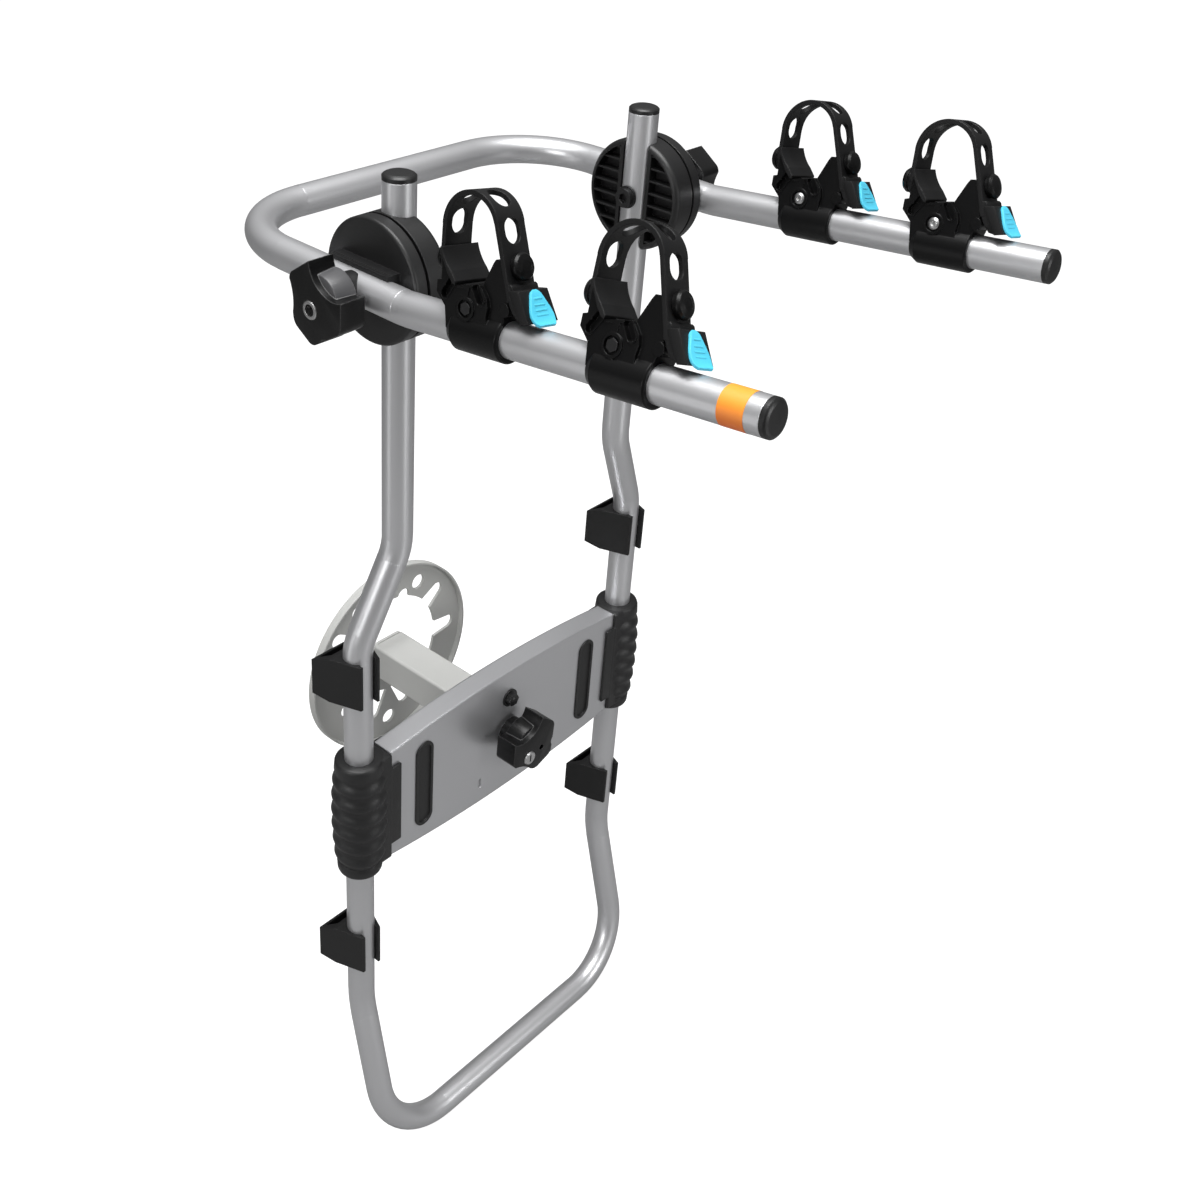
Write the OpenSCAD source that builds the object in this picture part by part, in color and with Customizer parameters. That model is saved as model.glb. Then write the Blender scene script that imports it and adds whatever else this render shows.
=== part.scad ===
// Bike rack that bolts to a spare wheel: two bent masts joined by a foot bar,
// a pressed plate between them, a stud disc on a square tube behind the plate,
// and a pair of arms that fold on two toothed hubs and carry four cradles.
// Origin: centre of the stud disc on its rear face. +Y points into the wheel,
// +Z up, +X to the right as seen from behind the vehicle's spare wheel.

/* [Tubes] */
// Outer diameter of the mast and arm tubes
tube_d = 25.4; // [22:0.1:30]
// Wall of the mast and arm tubes
tube_wall = 1.6; // [1.2:0.1:2.4]
// Radial gap between a tube and a plastic part that grips it
grip_gap = 0.1; // [0.05:0.01:0.1]
// Radial gap between a bolt and its hole
bolt_gap = 0.1; // [0.05:0.01:0.1]
// Gap between faces that turn or slide past each other
face_gap = 0.3; // [0.2:0.05:0.5]

/* [Masts] */
// Distance between the axes of the upper masts
mast_top_spacing = 276; // [260:1:290]
// Distance between the axes of the lower masts
mast_low_spacing = 351; // [340:1:370]
// Height of the mast tops above the wheel centre
mast_top_z = 566; // [560:1:640]
// Height where the masts begin to spread
spread_top_z = 262; // [250:1:300]
// Height where the masts have finished spreading
spread_low_z = 178; // [176:1:190]
// Height where the lower masts turn forward
foot_bend_z = -240; // [-260:1:-236]
// Height of the foot bar's axis
foot_z = -417; // [-460:1:-400]
// Distance from the disc's rear face to the lower mast axes
mast_offset = 154; // [140:1:180]
// How far the upper masts sit forward of the lower ones
mast_top_forward = 7; // [0:0.5:12]
// How far the foot bar sits forward of the lower masts
foot_forward = 45; // [30:1:60]
// Extra half spread of the foot bar's corners
foot_spread = 3; // [0:0.5:6]
// Bend radius of the spread
spread_r = 55; // [45:1:60]
// Bend radius where the masts turn forward
foot_bend_r = 130; // [90:1:160]
// Bend radius of the foot bar's corners
foot_corner_r = 72; // [55:1:90]

/* [Arms] */
// Distance from each upper mast's axis out to its arm's axis
arm_out = 39.5; // [38:0.5:46]
// Height of the fold axis above the wheel centre
hub_z = 496; // [440:1:500]
// Distance from the fold axis back to the rear bar's axis
arm_rear = 160; // [150:1:190]
// Distance from the fold axis forward to the arms' bend
arm_bend = 50; // [50:1:60]
// Length of the arms in front of their bend
arm_front = 298; // [290:1:330]
// Upward angle of the arms in front of their bend
arm_rise = 6.6; // [4:0.1:8]
// Pitch of the whole arm frame, rear bar up
arm_pitch = 1; // [0:0.1:2]
// Bend radius of the rear bar's corners
arm_corner_r = 80; // [60:1:90]
// Bend radius in the side of each arm
arm_bend_r = 60; // [50:1:60]

/* [Hubs] */
// Diameter of the folding hubs
hub_d = 95; // [90:1:100]
// Depth of the fixed half outboard of the mast's axis
hub_fixed_out = 15.4; // [15.2:0.1:16]
// How far the fixed half reaches inboard of the mast's axis
hub_fixed_in = 6.5; // [4:0.5:8]
// Depth of the turning half's disc
hub_turn_depth = 12; // [10:0.5:13]
// Depth of the ribbed pocket in the fixed half
hub_pocket = 10; // [6:0.5:12]
// Number of ribs in the pocket
hub_ribs = 8; // [5:1:9]
// Number of clamping teeth on each half
hub_teeth = 24; // [16:4:32]
// Height of the clamping teeth
tooth_h = 1.2; // [0.8:0.1:1.6]
// Half length of the seat that holds the arm on the hub
arm_seat_half = 30; // [24:1:40]
// Wall of the saddles that hold the mast and the arm
hub_saddle_wall = 3.6; // [3:0.1:4.5]

/* [Bolts and knobs] */
// Diameter of the three long bolts
bolt_d = 10; // [8:0.5:10]
// Radius of the knobs at their broad lobe
knob_r = 33; // [31:0.5:35]
// Depth of the plate knob, from its base to its face
knob_depth = 34; // [30:0.5:40]
// Depth of the hub knobs, from base to face
hub_knob_depth = 24.5; // [22:0.5:30]
// Diameter of the lock barrel
lock_d = 14; // [12:0.5:15]

/* [Plate] */
// Half length of the pressed plate
plate_half = 152; // [148:1:153]
// Height of the plate at its ends
plate_end_h = 119; // [110:1:122]
// How far the plate's edges bow out in the middle
plate_bow = 9.5; // [6:0.5:12]
// Depth of the plate's flanges
plate_depth = 21; // [18:0.5:24]
// Distance from the masts' axes forward to the plate's front
plate_ahead = 15; // [13:0.5:17]
// Sheet thickness of the plate
plate_t = 2; // [1.5:0.1:3]
// Height of the plate bolt above the centre
plate_bolt_z = 38; // [36:0.5:42]
// Length of the rubber strips
strip_len = 94; // [80:1:100]
// Width of the rubber strips
strip_w = 19; // [12:0.5:21]

/* [Grips] */
// Outer radius of the grips over their ribs
grip_r = 25; // [24:0.5:27]
// Depth of the waves between the ribs
grip_wave = 2.2; // [1:0.1:2.5]
// Number of ribs on a grip
grip_ribs = 8; // [5:1:10]
// Length of plate that a grip covers
grip_cover = 11; // [8:0.5:12]
// Wall of the grip over the plate
grip_wall = 3; // [2.5:0.1:3.5]

/* [Wheel disc] */
// Diameter of the stud disc
disc_d = 206; // [200:1:220]
// Sheet thickness of the stud disc
disc_t = 3; // [2.5:0.25:5]
// Depth of the disc with its turned rim
disc_rim = 8.5; // [7:0.5:12]
// Thickness of the turned rim
rim_t = 2; // [1.5:0.25:3]
// Radius of the disc's central opening
disc_open_r = 65; // [62:0.5:66]
// Height of the solid foot of the disc, below its centre
disc_foot_z = -25; // [-30:1:-22]
// Radius of the circle of the outer round stud holes
stud_circle_r = 80.5; // [78:0.25:84]
// Radius of the circle of the inner round stud holes
inner_stud_circle_r = 69.85; // [66:0.05:75]
// Diameter of the round stud holes
stud_hole_d = 16; // [14:0.5:17]
// Width of the stud slots at their tips
slot_w = 15; // [13:0.5:16]
// Side of the square tube
square_w = 38; // [34:0.5:42]
// Wall of the square tube
square_wall = 3; // [2:0.25:4]

/* [Tyre pads] */
// Height of the upper tyre pads' middle
pad_up_z = 146; // [120:1:146]
// Height of the lower left tyre pad, from the disc's centre
pad_down_z = -163; // [-175:1:-150]
// Height of the lower right tyre pad, which is clipped on a little lower
pad_down_right_z = -175; // [-180:1:-150]
// Height of a tyre pad where it grips the mast
tyre_pad_h = 44; // [36:1:46]
// Height of a tyre pad at the tyre
tyre_pad_back_h = 34; // [26:1:40]
// Half width of a tyre pad at the tyre
tyre_pad_half = 26.5; // [23:0.5:29]
// Distance from the mast's axis to the tyre face of a pad
tyre_pad_reach = 27.5; // [24:0.5:30]

/* [Cradles] */
// Distance of the left cradles from the arm's bend
cradle_left = [78, 198]; // [60:1:240]
// Distance of the right cradles from the arm's bend
cradle_right = [101, 219]; // [60:1:240]
// Swivel of the left cradles about the arm, in degrees
tilt_left = [9, 20]; // [-30:1:30]
// Swivel of the right cradles about the arm, in degrees
tilt_right = [12, 12]; // [-30:1:30]
// Width of a cradle's body
cradle_w = 28; // [26:0.5:32]
// Wall of the cradle's clamp round the arm
clamp_wall = 3.7; // [3:0.1:4.5]
// Length of the clamp behind the cradle's middle
clamp_back = 26; // [24:0.5:30]
// Length of the clamp in front of the cradle's middle
clamp_front = 21; // [19:0.5:23]
// Width of the rubber strap
strap_w = 25; // [20:0.5:26]
// Thickness of the rubber strap
strap_t = 3.5; // [3:0.1:4]
// Inner radius of the strap's arch
strap_in_r = 21.5; // [20.5:0.25:23]
// Width of the strap's long holes
strap_hole_d = 14; // [9:0.5:15]

/* [Hidden] */
$fn = 64;

black = [0.12, 0.12, 0.13];
steel = [0.66, 0.67, 0.69];
tube_r = tube_d / 2;
hold_r = tube_r + grip_gap;
mast_y = -mast_offset;
mast_top_y = mast_y - mast_top_forward;
foot_y = mast_y - foot_forward;
mast_top_x = mast_top_spacing / 2;
mast_low_x = mast_low_spacing / 2;
arm_x = mast_top_spacing / 2 + arm_out;
hub_r = hub_d / 2;
eps = 0.01;

// Bent tubes: straight runs between arcs that are tangent to both neighbours
function unit(v) = v / norm(v);
function bend_angle(a, b, c) = acos(max(-1, min(1, unit(b - a) * unit(c - b))));
function bend_cut(pts, radii, i) =
    i == 0 || i == len(pts) - 1 ? 0 : radii[i] * tan(bend_angle(pts[i - 1], pts[i], pts[i + 1]) / 2);

// Moves +Z onto the direction of a run that starts at a given point
module along(from, dir) {
    u = unit(dir);
    side = abs(u.z) > 0.9 ? [1, 0, 0] : [0, 0, 1];
    ex = unit(cross(side, u));
    ey = cross(u, ex);
    multmatrix([[ex.x, ey.x, u.x, from.x], [ex.y, ey.y, u.y, from.y], [ex.z, ey.z, u.z, from.z]])
        children();
}

// Bends are a hair slimmer than the runs and lap into them, like drawn tube
seam = 0.1;
seam_lap = 1;
module tube_bend(a, b, c, radius, r) {
    angle = bend_angle(a, b, c);
    ez = unit(cross(b - a, c - b));
    start = b - unit(b - a) * radius * tan(angle / 2);
    ex = -unit(cross(ez, unit(b - a)));
    ey = cross(ez, ex);
    centre = start - ex * radius;
    lap = seam_lap / radius * 180 / PI;
    multmatrix([[ex.x, ey.x, ez.x, centre.x], [ex.y, ey.y, ez.y, centre.y], [ex.z, ey.z, ez.z, centre.z]])
        rotate([0, 0, -lap])
            rotate_extrude(angle = angle + 2 * lap) translate([radius, 0]) circle(r = r - seam);
}

module bent_rod(pts, radii, r) {
    for (i = [0 : len(pts) - 2]) {
        dir = unit(pts[i + 1] - pts[i]);
        from = pts[i] + dir * bend_cut(pts, radii, i);
        to = pts[i + 1] - dir * bend_cut(pts, radii, i + 1);
        along(from, dir) cylinder(r = r, h = norm(to - from));
    }
    for (i = [1 : len(pts) - 2])
        tube_bend(pts[i - 1], pts[i], pts[i + 1], radii[i], r);
}

module bent_tube(pts, radii) {
    difference() {
        bent_rod(pts, radii, tube_r);
        bent_rod(pts, radii, tube_r - tube_wall);
    }
}

function mirror_x(p) = [-p.x, p.y, p.z];
function reversed(list) = [for (i = [len(list) - 1 : -1 : 0]) list[i]];

mast_side = [
    [mast_top_x, mast_top_y, mast_top_z],
    [mast_top_x, mast_top_y, spread_top_z],
    [mast_low_x, mast_y, spread_low_z],
    [mast_low_x, mast_y, foot_bend_z],
    [mast_low_x + foot_spread, foot_y, foot_z],
];
mast_pts = concat(mast_side, [for (p = reversed(mast_side)) mirror_x(p)]);
mast_radii = [0, spread_r, spread_r, foot_bend_r, foot_corner_r, foot_corner_r,
    foot_bend_r, spread_r, spread_r, 0];

// Places a child in the frame of the folded arms, whose origin is on the fold axis
module in_arm_frame() {
    translate([0, mast_top_y, hub_z]) rotate([arm_pitch, 0, 0]) children();
}

arm_side = [
    [arm_x, -arm_bend - arm_front * cos(arm_rise), arm_front * sin(arm_rise)],
    [arm_x, -arm_bend, 0],
    [arm_x, arm_rear, 0],
];
arm_pts = concat(arm_side, [for (p = reversed(arm_side)) mirror_x(p)]);
arm_radii = [0, arm_bend_r, arm_corner_r, arm_corner_r, arm_bend_r, 0];

module mast_tube() {
    color(steel) difference() {
        bent_tube(mast_pts, mast_radii);
        for (side = [-1, 1]) translate([side * mast_top_x, mast_top_y, hub_z])
            rotate([0, 90, 0]) cylinder(d = bolt_d + 2 * bolt_gap, h = tube_d + 4, center = true);
    }
}

// End plug: a slightly domed head over the rim and a spigot in the bore
cap_h = 5;
module end_cap() {
    spigot = tube_r - tube_wall - bolt_gap;
    rotate_extrude() polygon([
        [0, -14], [spigot - 1, -14], [spigot, -12], [spigot, 0], [tube_r, 0], [tube_r, cap_h - 2],
        [tube_r - 1.2, cap_h - 0.8], [tube_r - 3, cap_h], [0, cap_h + 0.6],
    ]);
}

module mast_caps() {
    color(black) for (side = [-1, 1]) translate([side * mast_top_x, mast_top_y, mast_top_z]) end_cap();
}

module arm_tube() {
    color(steel) in_arm_frame() difference() {
        bent_tube(arm_pts, arm_radii);
        for (side = [-1, 1]) translate([side * arm_x, 0, 0])
            rotate([0, 90, 0]) cylinder(d = bolt_d + 2 * bolt_gap, h = tube_d + 4, center = true);
    }
}

module arm_caps() {
    color(black) in_arm_frame() for (side = [-1, 1])
        translate([side * arm_x, 0, 0] + [0, arm_side[0].y, arm_side[0].z])
            rotate([90 - arm_rise, 0, 0]) end_cap();
}

// Pressed plate: a channel whose long edges bow outward
plate_front_y = mast_y - plate_ahead;
plate_back_y = plate_front_y + plate_depth;
module bowed_outline(half, end_h, bow, grow) {
    radius = (half * half + bow * bow) / (2 * bow);
    intersection() {
        square([2 * (half + grow), end_h + 2 * bow + 4], center = true);
        translate([0, end_h / 2 + bow - radius]) circle(r = radius + grow, $fn = 360);
        translate([0, radius - end_h / 2 - bow]) circle(r = radius + grow, $fn = 360);
    }
}

// Draws a child, given in the X Z plane, as a slab between two depths
module slab(y0, y1) {
    translate([0, y1, 0]) rotate([90, 0, 0]) linear_extrude(y1 - y0) children();
}

module pill(w, h) {
    square([w, h - w], center = true);
    for (s = [-1, 1]) translate([0, s * (h - w) / 2]) circle(d = w);
}

strip_x = 111;
mark_x = 36;
mark_z = -46;
module plate() {
    color(steel) difference() {
        slab(plate_front_y, plate_back_y) bowed_outline(plate_half, plate_end_h, plate_bow, 0);
        slab(plate_front_y + plate_t, plate_back_y + 1)
            bowed_outline(plate_half, plate_end_h, plate_bow, -plate_t);
        slab(plate_front_y - 1, plate_front_y + plate_t + 1) {
            circle(d = bolt_d + 2 * bolt_gap);
            translate([0, plate_bolt_z]) circle(d = small_bolt_d + 2 * bolt_gap);
            for (side = [-1, 1]) {
                translate([side * strip_x, 0]) pill(strip_w, strip_len);
                translate([side * mark_x, mark_z]) pill(3, 11);
            }
        }
    }
}

// Rubber strips: a plug in the slot and a raised oval rim on the front
module plate_strips() {
    color(black) for (side = [-1, 1]) translate([side * strip_x, 0, 0]) difference() {
        union() {
            slab(plate_front_y - 1.2, plate_front_y) pill(strip_w + 2, strip_len + 2);
            slab(plate_front_y, plate_front_y + plate_t + 1)
                pill(strip_w - 2 * bolt_gap, strip_len - 2 * bolt_gap);
        }
        slab(plate_front_y - 2, plate_front_y + 0.4) pill(strip_w - 4, strip_len - 4);
    }
}

small_bolt_d = 8;
flange_t = 4;
flange_top = plate_bolt_z + 12;
module plate_bolt() {
    color(black) translate([0, plate_front_y, plate_bolt_z]) rotate([90, 0, 0]) {
        rotate_extrude() polygon([[0, 0], [9, 0], [9, 1.6], [0, 1.6]]);
        translate([0, 0, 1.6]) cylinder(d = 13, h = 5, $fn = 6);
        translate([0, 0, 6.6]) cylinder(d1 = 8, d2 = 6, h = 0.8);
        translate([0, 0, -plate_t - flange_t - 9])
            cylinder(d = small_bolt_d, h = plate_t + flange_t + 9 + eps);
    }
}

module plate_nut() {
    color(steel) translate([0, plate_front_y + plate_t + flange_t, plate_bolt_z]) rotate([-90, 0, 0])
        difference() {
            union() {
                cylinder(d = 16, h = 1.5);
                translate([0, 0, 1.5]) cylinder(d = 15, h = 6.5, $fn = 6);
            }
            translate([0, 0, -1]) cylinder(d = small_bolt_d + 2 * bolt_gap, h = 11);
        }
}

// Grips: a ribbed barrel round the mast and a block that captures the plate's end
grip_half = plate_end_h / 2;
plate_pocket_gap = 0.2;
barrel_top = plate_end_h / 2 + 0.5;
barrel_low = -plate_end_h / 2 - 7;
grip_bulge = 3.5;
module grip_barrel() {
    steps = grip_ribs * 8;
    body = barrel_top - barrel_low - 18;
    rotate_extrude() polygon(concat(
        [[0, barrel_low], [grip_r - 9, barrel_low], [grip_r - 5, barrel_low + 4]],
        [for (i = [0 : steps]) [
            grip_r - grip_bulge * pow(2 * i / steps - 1, 2) - grip_wave / 2 - grip_wave / 2 *
                cos(360 * i * grip_ribs / steps),
            barrel_low + 7 + body * i / steps]],
        [[grip_r - 4.5, barrel_top - 10], [grip_r - 4.5, barrel_top - 3],
            [grip_r - 6, barrel_top], [0, barrel_top]]
    ));
}

module grip(side) {
    reach = mast_low_x - plate_half + grip_cover;
    front = mast_y - plate_front_y + grip_wall;
    back = plate_back_y - mast_y + grip_wall;
    color(black) translate([side * mast_low_x, mast_y, 0]) scale([side, 1, 1]) difference() {
        union() {
            intersection() {
                grip_barrel();
                translate([-grip_r * 0.62, -grip_r - 1, barrel_low - 1])
                    cube([2 * grip_r + 2, 2 * grip_r + 2, 2 * grip_half + 20]);
            }
            translate([-reach, -front, -grip_half]) cube([reach, front + back, 2 * grip_half]);
        }
        // the lip in front of the plate is lower than the block and has cut corners
        for (end = [-1, 1]) translate([-reach - 1, -front - 1, end * grip_half]) rotate([-90, 0, 0])
            linear_extrude(grip_wall + 1 - plate_pocket_gap) polygon([
                [0, end * 25], [grip_cover - 3, end * 20],
                    [grip_cover + 2, 0], [grip_cover + 2, -end * 5], [0, -end * 5]]);
        translate([0, 0, barrel_low - 1]) cylinder(r = hold_r, h = 2 * grip_half + 20);
        // pocket for the end of the plate
        translate([-reach - 1, -front + grip_wall - plate_pocket_gap, -plate_end_h / 2 - plate_bow_at_cover])
            cube([grip_cover + 1 + plate_pocket_gap, plate_depth + 2 * plate_pocket_gap,
                plate_end_h + 2 * plate_bow_at_cover]);
    }
}
plate_bow_at_cover = 1.6;

module grip_left() { grip(-1); }
module grip_right() { grip(1); }

// Stud disc: a ring with a turned rim, open slots round its upper part, and a
// solid foot whose tongue carries the square tube
slot_tips = [[0, 83.5], [36, 82.5], [72, 65.5], [108, 65.5], [144, 82.5], [180, 83.5]];
foot_slot_angles = [252, 288];
foot_slot_inner = 42;
foot_slot_tip = 67.5;
tongue_half = square_w / 2 + 1;
tongue_round = 8;

// Slot along +X whose tip is round and whose inner end is wider
module stud_slot(inner, tip) {
    translate([tip, 0]) circle(d = slot_w);
    polygon([[tip, -slot_w / 2], [tip, slot_w / 2], [inner, slot_w / 2 + 3], [inner, -slot_w / 2 - 3]]);
}

module tongue_outline() {
    width = 2 * tongue_half;
    translate([-tongue_half, disc_foot_z - 1]) square([width, tongue_half - tongue_round - disc_foot_z + 1]);
    translate([-tongue_half + tongue_round, 0]) square([width - 2 * tongue_round, tongue_half]);
    for (side = [-1, 1])
        translate([side * (tongue_half - tongue_round), tongue_half - tongue_round]) circle(r = tongue_round);
}

module stud_openings() {
    difference() {
        circle(r = disc_open_r, $fn = 128);
        translate([-disc_d / 2, -disc_d]) square([disc_d, disc_d + disc_foot_z]);
        tongue_outline();
    }
    for (s = slot_tips) rotate(s[0]) stud_slot(disc_open_r - 6, s[1]);
    for (a = foot_slot_angles) rotate(a) stud_slot(foot_slot_inner, foot_slot_tip);
    for (a = [60, 120, 270]) rotate(a) translate([stud_circle_r, 0]) circle(d = stud_hole_d);
    for (a = [216, 324]) rotate(a) translate([inner_stud_circle_r, 0]) circle(d = stud_hole_d);
}

module wheel_disc() {
    color([0.8, 0.81, 0.79]) difference() {
        union() {
            slab(-disc_t, 0) circle(d = disc_d, $fn = 128);
            slab(-disc_rim, -disc_t) difference() {
                circle(d = disc_d, $fn = 128);
                circle(d = disc_d - 2 * rim_t, $fn = 128);
            }
        }
        slab(-disc_t - 1, 1) stud_openings();
    }
}

// Square tube from the disc to the plate, with an end flange behind the plate
flange_back_y = plate_front_y + plate_t + flange_t;
module bracket_tube() {
    inner = square_w - 2 * square_wall;
    color([0.8, 0.81, 0.79]) difference() {
        union() {
            slab(flange_back_y, -disc_t) difference() {
                rounded_square(square_w, 3);
                rounded_square(inner, 1.5);
            }
            slab(flange_back_y - flange_t, flange_back_y)
                translate([-square_w / 2, -square_w / 2]) square([square_w, square_w / 2 + flange_top]);
        }
        slab(flange_back_y - flange_t - 1, flange_back_y + 1) {
            circle(d = bolt_d + 2 * bolt_gap);
            translate([0, plate_bolt_z]) circle(d = small_bolt_d + 2 * bolt_gap);
        }
    }
}

module rounded_square(w, r) {
    square([w, w - 2 * r], center = true);
    square([w - 2 * r, w], center = true);
    for (x = [-1, 1], y = [-1, 1]) translate([x * (w / 2 - r), y * (w / 2 - r)]) circle(r = r);
}

// Long bolt with a hexagon head inside the square tube, reaching into the plate knob
knob_stand = 2;
plate_nut_len = 20;
bolt_reach = plate_nut_len - 3;
module centre_bolt() {
    head_y = flange_back_y;
    color(steel) translate([0, head_y, 0]) rotate([90, 0, 0]) {
        translate([0, 0, -7]) cylinder(d = 19, h = 7, $fn = 6);
        cylinder(d = bolt_d, h = flange_t + plate_t + knob_stand + bolt_reach);
    }
}

// Grip knob on +Z with its base at z = 0 and its thumb scoop towards +X
knob_core_r = 15.5;
knob_core_sink = 5;
knob_skirt = 6.5;
scoop_r = 19;
scoop_away = 29.9;
groove_t = 1.3;
groove_sink = 0.8;
notch_r = 12;
nut_r = 8.5;
module knob(r, depth, hole_depth) {
    difference() {
        union() {
            cylinder(r = knob_core_r - 1, h = knob_skirt);
            translate([0, 0, knob_skirt - 1]) linear_extrude(depth - knob_skirt) knob_outline(r, 0);
            translate([0, 0, depth - 2]) linear_extrude(2) knob_outline(r, 1.2);
            translate([0, 0, 5]) cylinder(r = knob_core_r, h = depth - knob_core_sink - 5);
        }
        // groove that follows the scoop across the face
        translate([scoop_away, 0, depth - groove_sink]) linear_extrude(4) difference() {
            circle(r = scoop_r + 2.2);
            circle(r = scoop_r + 2.2 - groove_t);
        }
        translate([0, 0, -1]) cylinder(r = nut_r, h = hole_depth + 1);
    }
}

module knob_outline(r, inset) {
    difference() {
        union() {
            circle(r = r - 5 - inset);
            // the broad lobe stands further out than the narrow one
            intersection() {
                circle(r = r - inset);
                polygon([[0, 0], 2 * r * [cos(156), sin(156)],
                    2 * r * [cos(222), sin(222)], 2 * r * [cos(290), sin(290)]]);
            }
        }
        translate([scoop_away, 0]) circle(r = scoop_r + inset);
        rotate(134) translate([r + 2, 0]) circle(r = notch_r + inset);
    }
}

// Metal insert that fills a knob's bore
module knob_nut(depth) {
    difference() {
        cylinder(r = nut_r, h = depth);
        translate([0, 0, -1]) cylinder(d = bolt_d + 2 * bolt_gap, h = depth + 2);
    }
}

plate_knob_y = plate_front_y - knob_stand;
plate_scoop_angle = 112;
lock_x = -7.7;
lock_z = -9.4;
knob_face_hole = [8.6, -3.7];
module centre_knob() {
    color(black) translate([0, plate_knob_y, 0]) rotate([90, 0, 0]) difference() {
        rotate(plate_scoop_angle) knob(knob_r, knob_depth, plate_nut_len);
        translate([lock_x, lock_z, knob_depth - 12]) cylinder(d = lock_d + 2 * bolt_gap, h = 20);
        translate([knob_face_hole.x, knob_face_hole.y, knob_depth - 4]) cylinder(d = 4.5, h = 8);
    }
}

module centre_nut() {
    color(steel) translate([0, plate_knob_y, 0]) rotate([90, 0, 0]) knob_nut(plate_nut_len);
}

module lock_barrel() {
    color("silver") translate([lock_x, plate_knob_y, lock_z]) rotate([90, 0, 0]) difference() {
        union() {
            translate([0, 0, knob_depth - 12 + face_gap]) cylinder(d = lock_d, h = 12 - face_gap);
            translate([0, 0, knob_depth]) cylinder(d1 = lock_d, d2 = lock_d - 1.6, h = 1.4);
        }
        translate([-1, -4, knob_depth - 3]) cube([2, 8, 8]);
    }
}

// Hubs: x runs outboard from the mast's axis, z along the mast
teeth_x = hub_fixed_out;
turn_x = hub_fixed_out + face_gap;
teeth_in = hub_r * 0.58;
teeth_out = hub_r * 0.88;

module at_hub(side) {
    translate([side * mast_top_x, mast_top_y, hub_z]) scale([side, 1, 1]) children();
}

// A disc on the hub axis between two distances from the mast's axis
module hub_disc(r, x0, x1) {
    translate([x0, 0, 0]) rotate([0, 90, 0]) cylinder(r = r, h = x1 - x0);
}

// Short radial teeth that stand up from a face between two distances
module hub_tooth_ring(x0, x1) {
    for (i = [0 : hub_teeth - 1]) rotate([(i + 0.5) * 360 / hub_teeth, 0, 0])
        translate([x0, teeth_in, -1.2]) cube([x1 - x0, teeth_out - teeth_in, 2.4]);
}

hub_rim_t = 5;
hub_round = 5;
hub_rib_t = 1.4;
module rounded_disc(r, depth, round) {
    rotate_extrude() {
        square([r - round, depth]);
        translate([0, round]) square([r, depth - round]);
        translate([r - round, round]) circle(r = round);
    }
}

module hub_fixed(side) {
    face = hub_fixed_in;
    floor_x = -face + hub_pocket;
    channel = tube_r + hub_saddle_wall;
    color(black) at_hub(side) difference() {
        union() {
            translate([-face, 0, 0]) rotate([0, 90, 0])
                rounded_disc(hub_r, face + teeth_x - tooth_h, hub_round);
            hub_tooth_ring(teeth_x - tooth_h - 1, teeth_x);
        }
        // pocket on the inboard face, crossed by ribs and by the mast's channel
        difference() {
            hub_disc(hub_r - hub_rim_t, -face - 1, floor_x);
            translate([-face - 2, -channel, -hub_r]) cube([hub_pocket + 4, 2 * channel, 2 * hub_r]);
            for (i = [0 : hub_ribs - 1])
                translate([-face + 1, -hub_r,
                    (i - (hub_ribs - 1) / 2) * 2 * (hub_r - hub_rim_t) / hub_ribs - hub_rib_t / 2])
                    cube([hub_pocket + 2, 2 * hub_r, hub_rib_t]);
        }
        translate([0, 0, -hub_r - 1]) cylinder(r = hold_r, h = 2 * hub_r + 2);
        translate([-face - 1, -hold_r, -hub_r - 1]) cube([face + 1, 2 * hold_r, 2 * hub_r + 2]);
        hub_disc(bolt_d / 2 + bolt_gap, -face - 1, hub_fixed_out + 5);
    }
}

module hub_turn(side) {
    x0 = turn_x + tooth_h;
    x1 = turn_x + hub_turn_depth;
    saddle_r = tube_r + hub_saddle_wall;
    color(black) at_hub(side) rotate([arm_pitch, 0, 0]) difference() {
        union() {
            translate([x1, 0, 0]) rotate([0, -90, 0]) rounded_disc(hub_r, x1 - x0, 2.5);
            hub_tooth_ring(turn_x, x0 + 1);
            // seat that holds the arm along the disc
            intersection() {
                translate([arm_out, arm_seat_half, 0]) rotate([90, 0, 0])
                    cylinder(r = saddle_r, h = 2 * arm_seat_half);
                translate([x0, -hub_r, -saddle_r]) cube([arm_out - x0, 2 * hub_r, 2 * saddle_r]);
            }
            translate([x0, -arm_seat_half, -saddle_r])
                cube([arm_out - x0 - 4, 2 * arm_seat_half, 2 * saddle_r]);
        }
        translate([arm_out, hub_r + 1, 0]) rotate([90, 0, 0]) cylinder(r = hold_r, h = 2 * hub_r + 2);
        hub_disc(bolt_d / 2 + bolt_gap, turn_x - 1, arm_out + 5);
    }
}

module hub_fixed_left() { hub_fixed(-1); }
module hub_fixed_right() { hub_fixed(1); }
module hub_turn_left() { hub_turn(-1); }
module hub_turn_right() { hub_turn(1); }

// Spacers that seat on the round of the arm and give the knobs a flat face
washer_r = 13;
washer_out = arm_out + tube_r + 3;
module hub_washers() {
    color(black) for (side = [-1, 1]) at_hub(side) rotate([arm_pitch, 0, 0]) difference() {
        hub_disc(washer_r, arm_out + 4, washer_out);
        translate([arm_out, washer_r + 1, 0]) rotate([90, 0, 0]) cylinder(r = hold_r, h = 2 * washer_r + 2);
        hub_disc(bolt_d / 2 + bolt_gap, arm_out, washer_out + 1);
    }
}

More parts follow.
